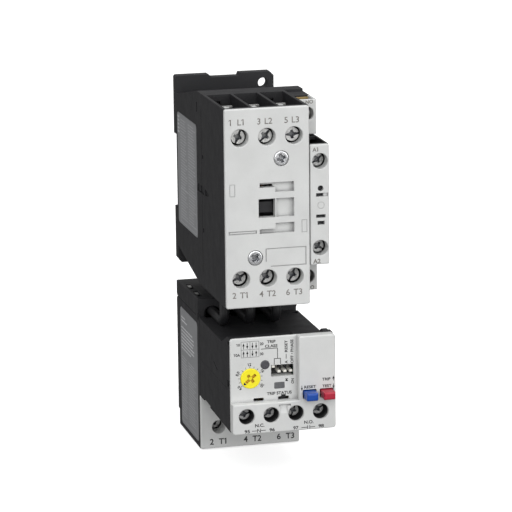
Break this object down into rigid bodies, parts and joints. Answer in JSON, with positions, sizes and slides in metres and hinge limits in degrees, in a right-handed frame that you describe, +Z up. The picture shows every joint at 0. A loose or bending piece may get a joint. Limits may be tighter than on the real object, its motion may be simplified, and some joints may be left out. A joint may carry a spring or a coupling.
{
  "type": "magnetic motor starter",
  "caption": "Three-pole magnetic contactor with an electronic overload relay plugged into its load side, for panel or rail mounting.",
  "frame": {"origin": "on the rear mounting plane, midway between the two fixing holes", "axes": "+X to the right of someone facing the front, the front faces -Y, +Z up with the relay hanging below"},
  "size_m": [0.045, 0.1116, 0.1612],
  "materials": {
    "housing_black": "fine matte moulded",
    "cover_grey": "fine matte moulded",
    "plate_grey": "fine matte moulded",
    "label_grey": "printed film",
    "latch_grey": "matte moulded",
    "screw_bright": "bright plated",
    "steel_plated": "zinc plated",
    "spring_steel": "drawn wire",
    "brass_plain": "stamped",
    "copper_bar": "stamped",
    "magnet_iron": "ground laminations",
    "pad_rubber": "matte",
    "bobbin_cream": "matte moulded",
    "winding_copper": "enamelled wire",
    "sleeve_black": "smooth sleeve",
    "board_green": "solder mask",
    "pot_blue": "moulded",
    "dial_yellow": "moulded",
    "lens_dark": "clear over dark",
    "window_dark": "smoked",
    "dip_black": "moulded",
    "slider_white": "moulded",
    "lever_blue": "moulded",
    "lever_red": "moulded",
    "transformer_black": "wound ring"
  },
  "bodies": {
    "starter": {"base_housing": "housing_black", "contactor_label": "label_grey", "rail_latch_spring": "spring_steel", "upper_housing": "housing_black", "front_cover": "cover_grey", "cover_screws": "screw_bright", "coil_terminal_cover": "cover_grey", "aux_cover_top": "cover_grey", "aux_cover_bottom": "cover_grey", "main_clamps": "steel_plated", "main_terminal_screws": "steel_plated", "fixed_contacts": "copper_bar", "aux_contacts": "brass_plain", "aux_screws": "steel_plated", "coil_terminals": "brass_plain", "coil_terminal_screws": "steel_plated", "fixed_core": "magnet_iron", "core_pad": "pad_rubber", "shading_rings": "brass_plain", "coil_bobbin": "bobbin_cream", "coil_winding": "winding_copper", "return_springs": "spring_steel", "relay_base": "housing_black", "relay_label": "label_grey", "catch_springs": "steel_plated", "relay_terminal_plate": "plate_grey", "output_clamps": "steel_plated", "output_screws": "steel_plated", "phase_conductors": "copper_bar", "conductor_sleeves": "sleeve_black", "current_transformers": "transformer_black", "electronics_top_shell": "housing_black", "electronics_bottom_shell": "housing_black", "relay_front_cover": "cover_grey", "circuit_board": "board_green", "potentiometer": "pot_blue", "status_lens": "lens_dark", "status_window": "window_dark", "dip_switch_body": "dip_black", "reset_spring": "spring_steel", "test_spring": "spring_steel", "signal_clamps": "steel_plated", "signal_screws": "steel_plated", "signal_contacts": "brass_plain", "trip_magnet": "magnet_iron"},
    "carrier": {"contact_carrier": "housing_black", "armature": "magnet_iron", "contact_springs": "spring_steel"},
    "bridges": {"main_bridges": "copper_bar", "aux_bridge": "brass_plain"},
    "latch": {"rail_latch": "latch_grey"},
    "dial": {"current_dial": "dial_yellow"},
    "slider_1": {"dip_slider_1": "slider_white"},
    "slider_2": {"dip_slider_2": "slider_white"},
    "slider_3": {"dip_slider_3": "slider_white"},
    "slider_4": {"dip_slider_4": "slider_white"},
    "reset": {"reset_lever": "lever_blue"},
    "test": {"test_lever": "lever_red"},
    "trip": {"trip_slide": "dip_black", "signal_bridges": "brass_plain"}
  },
  "joints": [
    {"name": "carrier_slide", "type": "slide", "parent": "starter", "child": "carrier", "axis": [0, 1, 0], "range_m": [0, 0.005], "stiffness_N_per_m": 450, "springref_m": -0.006, "deforming": ["return_springs"]},
    {"name": "bridge_slide", "type": "slide", "parent": "starter", "child": "bridges", "axis": [0, 1, 0], "range_m": [0, 0.004], "deforming": ["contact_springs"]},
    {"name": "rail_latch_slide", "type": "slide", "parent": "starter", "child": "latch", "axis": [0, 0, -1], "range_m": [0, 0.003], "stiffness_N_per_m": 350, "springref_m": -0.004, "deforming": ["rail_latch_spring"]},
    {"name": "current_dial_turn", "type": "hinge", "parent": "starter", "child": "dial", "pos_m": [-0.0138, -0.1015, -0.0718], "axis": [0, 1, 0], "range_deg": [0, 254]},
    {"name": "dip_slider_1_slide", "type": "slide", "parent": "starter", "child": "slider_1", "axis": [0, 0, -1], "range_m": [0, 0.0023]},
    {"name": "dip_slider_2_slide", "type": "slide", "parent": "starter", "child": "slider_2", "axis": [0, 0, 1], "range_m": [0, 0.0023]},
    {"name": "dip_slider_3_slide", "type": "slide", "parent": "starter", "child": "slider_3", "axis": [0, 0, 1], "range_m": [0, 0.0023]},
    {"name": "dip_slider_4_slide", "type": "slide", "parent": "starter", "child": "slider_4", "axis": [0, 0, 1], "range_m": [0, 0.0023]},
    {"name": "reset_lever_slide", "type": "slide", "parent": "starter", "child": "reset", "axis": [0, 0, -1], "range_m": [0, 0.0014], "stiffness_N_per_m": 250, "springref_m": -0.0015, "deforming": ["reset_spring"]},
    {"name": "test_lever_slide", "type": "slide", "parent": "starter", "child": "test", "axis": [0, 0, 1], "range_m": [-0.0012, 0.0004], "stiffness_N_per_m": 250, "deforming": ["test_spring"]},
    {"name": "trip_slide_travel", "type": "slide", "parent": "starter", "child": "trip", "axis": [0, 0, 1], "range_m": [0, 0.0015]}
  ],
  "couplings": [
    {"joint": "bridge_slide", "follows": "carrier_slide", "ratio": 0.8}
  ]
}
